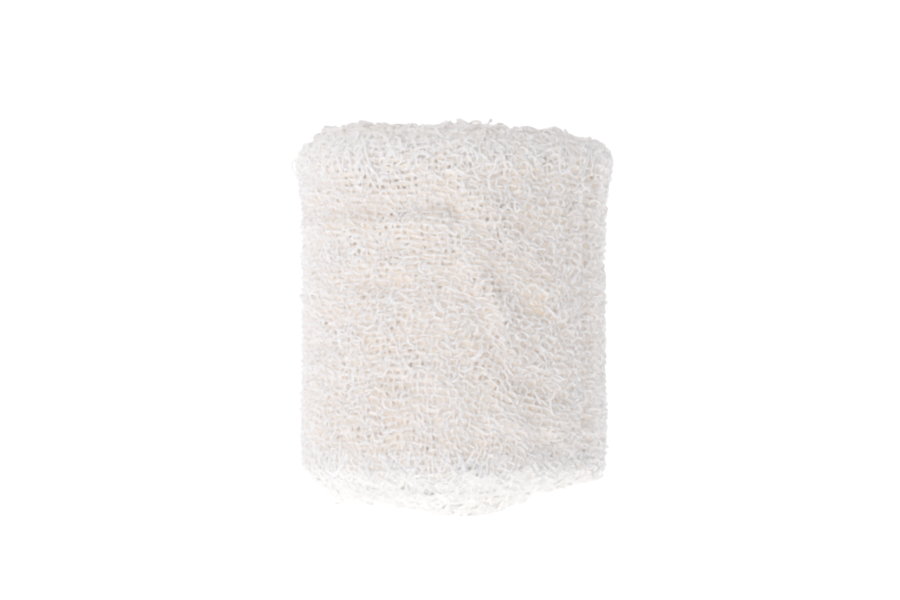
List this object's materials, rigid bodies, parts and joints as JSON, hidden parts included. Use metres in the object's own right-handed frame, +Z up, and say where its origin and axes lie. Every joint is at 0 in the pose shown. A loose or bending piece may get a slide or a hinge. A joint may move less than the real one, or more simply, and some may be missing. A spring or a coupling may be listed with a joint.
{
  "type": "crepe bandage",
  "caption": "Roll of bleached cotton crepe bandage: an open, crinkled, stretchy cloth strip wound up tight, standing on one end, with looped edges at both ends",
  "frame": {"origin": "middle of the small flat spot that the roll stands on, on the roll's axis", "axes": "+Z up along the roll's axis; -Y toward the picture's camera; +X to the picture's right"},
  "size_m": [0.0587, 0.0581, 0.0734],
  "materials": {
    "cotton_crepe": "matt, undyed bleached cotton with an open crinkled weave"
  },
  "bodies": {
    "root": {"bandage_roll": "cotton_crepe"}
  },
  "joints": []
}
